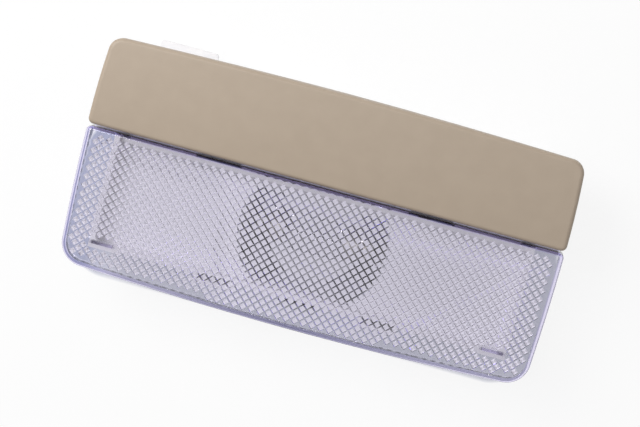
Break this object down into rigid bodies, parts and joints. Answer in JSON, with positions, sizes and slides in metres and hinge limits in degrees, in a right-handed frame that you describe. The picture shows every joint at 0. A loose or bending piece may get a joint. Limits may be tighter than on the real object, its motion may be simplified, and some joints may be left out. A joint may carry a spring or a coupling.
{
  "type": "car courtesy light",
  "caption": "Flat interior car lamp: clear prismatic lens over a white tray with a festoon bulb in a metal bowl, beside a full-width taupe rocker switch.",
  "frame": {"origin": "middle of the headliner cut-out, in the plane that seats on the headliner", "axes": "+X along the lamp, +Y towards the rocker switch, +Z out of the face"},
  "size_m": [0.13, 0.0648, 0.0224],
  "materials": {
    "housing_white": "satin",
    "lens_clear": "clear, polished, faint lavender",
    "rocker_taupe": "satin, fine grain",
    "bowl_aluminium": "satin",
    "bulb_glass": "clear",
    "cap_nickel": "nickel plated",
    "filament_tungsten": "bare wire",
    "strip_tinned": "tin plated, stamped sheet",
    "leaf_bronze": "bare spring sheet",
    "rivet_brass": "bare",
    "contact_silver": "silver plated",
    "spring_steel": "bare spring sheet"
  },
  "bodies": {
    "lamp": {"housing": "housing_white", "lens": "lens_clear", "reflector_bowl": "bowl_aluminium", "bulb_glass": "bulb_glass", "bulb_cap_left": "cap_nickel", "bulb_cap_right": "cap_nickel", "bulb_filament": "filament_tungsten", "live_strip": "strip_tinned", "common_strip": "strip_tinned", "earth_strip": "strip_tinned", "door_strip": "strip_tinned", "switch_leaf": "leaf_bronze", "leaf_rivet": "rivet_brass", "earth_contact": "contact_silver", "door_contact": "contact_silver", "mounting_spring": "spring_steel"},
    "rocker": {"switch_rocker": "rocker_taupe"}
  },
  "joints": [
    {"name": "rocker_tilt", "type": "hinge", "parent": "lamp", "child": "rocker", "pos_m": [0, 0.0173, 0.0024], "axis": [0, 1, 0], "range_deg": [-2.5, 2.5], "deforming": ["switch_leaf"]}
  ]
}
